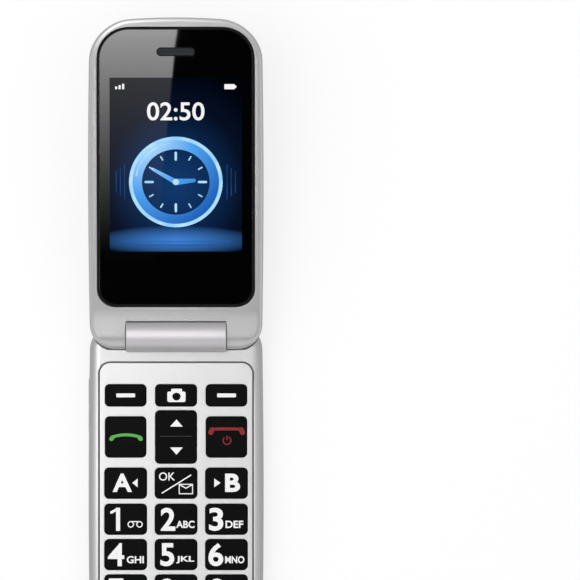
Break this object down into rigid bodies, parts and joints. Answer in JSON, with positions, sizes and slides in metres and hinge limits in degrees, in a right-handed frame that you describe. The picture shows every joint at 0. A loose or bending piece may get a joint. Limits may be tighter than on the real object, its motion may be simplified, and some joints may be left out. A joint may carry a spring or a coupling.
{
  "type": "flip phone",
  "caption": "Folding mobile phone with a display lid, a large-key base and a barrel hinge; open, lying on its back.",
  "frame": {"origin": "centre of the base's flat back face, on which the phone lies", "axes": "+Z out of the keypad, +Y from the keypad towards the hinge and the open lid, +X to the right of someone who looks at the keypad"},
  "size_m": [0.05, 0.186, 0.038],
  "materials": {
    "dark_shell": "fine matt texture, dark grey",
    "silver_paint": "satin silver paint on plastic",
    "panel_silver": "satin pale silver paint on plastic",
    "barrel_metal": "satin turned sleeve",
    "screen_glass": "black printed window, high gloss",
    "lens_glass": "black lens window, high gloss",
    "display": "lit panel",
    "key_cap": "black, half gloss, pale print",
    "accent_metal": "bright brushed inlay",
    "light_bar": "clear, pale yellow",
    "mesh": "slotted dark trim",
    "board": "green solder mask",
    "steel": "plain steel",
    "gold": "gold flash",
    "black_part": "moulded black",
    "battery_can": "can in a dark sleeve",
    "flex": "amber film",
    "mat": "translucent grey silicone"
  },
  "bodies": {
    "base": {"base_front_frame": "silver_paint", "keypad_panel": "panel_silver", "keypad_mat": "mat", "dome_sheet": "steel", "main_board": "board", "shield_cans": "steel", "battery": "battery_can", "battery_contacts": "gold", "base_rear_housing": "dark_shell", "loudspeaker": "black_part", "usb_socket": "steel", "charge_contacts": "gold", "card_holder": "steel", "vibration_motor": "steel", "microphone": "gold", "base_screws": "steel", "hinge_barrel": "barrel_metal", "hinge_cartridge": "steel", "hinge_follower": "steel", "hinge_spring": "steel", "hinge_flex": "flex"},
    "lid": {"lid_outer_cover": "dark_shell", "lid_inner_frame": "silver_paint", "display_glass": "screen_glass", "display_module": "display", "earpiece_grille": "mesh", "earpiece_receiver": "black_part", "lid_board": "board", "camera_module": "black_part", "camera_lens": "lens_glass", "status_lights": "light_bar", "accent_strip": "accent_metal", "lid_screws": "steel", "flip_magnet": "steel", "hinge_cam": "steel", "pivot_bush": "steel"},
    "key_soft_left_body": {"key_soft_left": "key_cap"},
    "key_camera_body": {"key_camera": "key_cap"},
    "key_soft_right_body": {"key_soft_right": "key_cap"},
    "key_call_body": {"key_call": "key_cap"},
    "key_navigate_body": {"key_navigate": "key_cap"},
    "key_end_body": {"key_end": "key_cap"},
    "key_a_body": {"key_a": "key_cap"},
    "key_ok_body": {"key_ok": "key_cap"},
    "key_b_body": {"key_b": "key_cap"},
    "key_1_body": {"key_1": "key_cap"},
    "key_2_body": {"key_2": "key_cap"},
    "key_3_body": {"key_3": "key_cap"},
    "key_4_body": {"key_4": "key_cap"},
    "key_5_body": {"key_5": "key_cap"},
    "key_6_body": {"key_6": "key_cap"},
    "key_7_body": {"key_7": "key_cap"},
    "key_8_body": {"key_8": "key_cap"},
    "key_9_body": {"key_9": "key_cap"},
    "key_star_body": {"key_star": "key_cap"},
    "key_0_body": {"key_0": "key_cap"},
    "key_hash_body": {"key_hash": "key_cap"},
    "volume_rocker_body": {"volume_rocker": "silver_paint"},
    "battery_cover_body": {"battery_cover": "dark_shell"},
    "vibration_weight_body": {"vibration_weight": "steel"}
  },
  "joints": [
    {"name": "lid_hinge", "type": "hinge", "parent": "base", "child": "lid", "pos_m": [0, 0.0451, 0.0125], "axis": [1, 0, 0], "range_deg": [0, 165]},
    {"name": "key_soft_left_push", "type": "slide", "parent": "base", "child": "key_soft_left_body", "axis": [0, 0, -1], "range_m": [0, 0.0004], "stiffness_N_per_m": 500},
    {"name": "key_camera_push", "type": "slide", "parent": "base", "child": "key_camera_body", "axis": [0, 0, -1], "range_m": [0, 0.0004], "stiffness_N_per_m": 500},
    {"name": "key_soft_right_push", "type": "slide", "parent": "base", "child": "key_soft_right_body", "axis": [0, 0, -1], "range_m": [0, 0.0004], "stiffness_N_per_m": 500},
    {"name": "key_call_push", "type": "slide", "parent": "base", "child": "key_call_body", "axis": [0, 0, -1], "range_m": [0, 0.0004], "stiffness_N_per_m": 500},
    {"name": "key_navigate_rock", "type": "hinge", "parent": "base", "child": "key_navigate_body", "pos_m": [0, 0.0162, 0.00915], "axis": [1, 0, 0], "range_deg": [-2.5, 2.5], "stiffness_Nm_per_rad": 0.02},
    {"name": "key_end_push", "type": "slide", "parent": "base", "child": "key_end_body", "axis": [0, 0, -1], "range_m": [0, 0.0004], "stiffness_N_per_m": 500},
    {"name": "key_a_push", "type": "slide", "parent": "base", "child": "key_a_body", "axis": [0, 0, -1], "range_m": [0, 0.0004], "stiffness_N_per_m": 500},
    {"name": "key_ok_push", "type": "slide", "parent": "base", "child": "key_ok_body", "axis": [0, 0, -1], "range_m": [0, 0.0004], "stiffness_N_per_m": 500},
    {"name": "key_b_push", "type": "slide", "parent": "base", "child": "key_b_body", "axis": [0, 0, -1], "range_m": [0, 0.0004], "stiffness_N_per_m": 500},
    {"name": "key_1_push", "type": "slide", "parent": "base", "child": "key_1_body", "axis": [0, 0, -1], "range_m": [0, 0.0004], "stiffness_N_per_m": 500},
    {"name": "key_2_push", "type": "slide", "parent": "base", "child": "key_2_body", "axis": [0, 0, -1], "range_m": [0, 0.0004], "stiffness_N_per_m": 500},
    {"name": "key_3_push", "type": "slide", "parent": "base", "child": "key_3_body", "axis": [0, 0, -1], "range_m": [0, 0.0004], "stiffness_N_per_m": 500},
    {"name": "key_4_push", "type": "slide", "parent": "base", "child": "key_4_body", "axis": [0, 0, -1], "range_m": [0, 0.0004], "stiffness_N_per_m": 500},
    {"name": "key_5_push", "type": "slide", "parent": "base", "child": "key_5_body", "axis": [0, 0, -1], "range_m": [0, 0.0004], "stiffness_N_per_m": 500},
    {"name": "key_6_push", "type": "slide", "parent": "base", "child": "key_6_body", "axis": [0, 0, -1], "range_m": [0, 0.0004], "stiffness_N_per_m": 500},
    {"name": "key_7_push", "type": "slide", "parent": "base", "child": "key_7_body", "axis": [0, 0, -1], "range_m": [0, 0.0004], "stiffness_N_per_m": 500},
    {"name": "key_8_push", "type": "slide", "parent": "base", "child": "key_8_body", "axis": [0, 0, -1], "range_m": [0, 0.0004], "stiffness_N_per_m": 500},
    {"name": "key_9_push", "type": "slide", "parent": "base", "child": "key_9_body", "axis": [0, 0, -1], "range_m": [0, 0.0004], "stiffness_N_per_m": 500},
    {"name": "key_star_push", "type": "slide", "parent": "base", "child": "key_star_body", "axis": [0, 0, -1], "range_m": [0, 0.0004], "stiffness_N_per_m": 500},
    {"name": "key_0_push", "type": "slide", "parent": "base", "child": "key_0_body", "axis": [0, 0, -1], "range_m": [0, 0.0004], "stiffness_N_per_m": 500},
    {"name": "key_hash_push", "type": "slide", "parent": "base", "child": "key_hash_body", "axis": [0, 0, -1], "range_m": [0, 0.0004], "stiffness_N_per_m": 500},
    {"name": "volume_rock", "type": "hinge", "parent": "base", "child": "volume_rocker_body", "pos_m": [-0.02305, 0.0251, 0.007], "axis": [0, 0, 1], "range_deg": [-2, 2], "stiffness_Nm_per_rad": 0.02},
    {"name": "battery_cover_slide", "type": "slide", "parent": "base", "child": "battery_cover_body", "axis": [0, -1, 0], "range_m": [0, 0.02]},
    {"name": "vibration_spin", "type": "hinge", "parent": "base", "child": "vibration_weight_body", "pos_m": [-0.006, -0.0434, 0.0047], "axis": [1, 0, 0], "continuous": true}
  ]
}
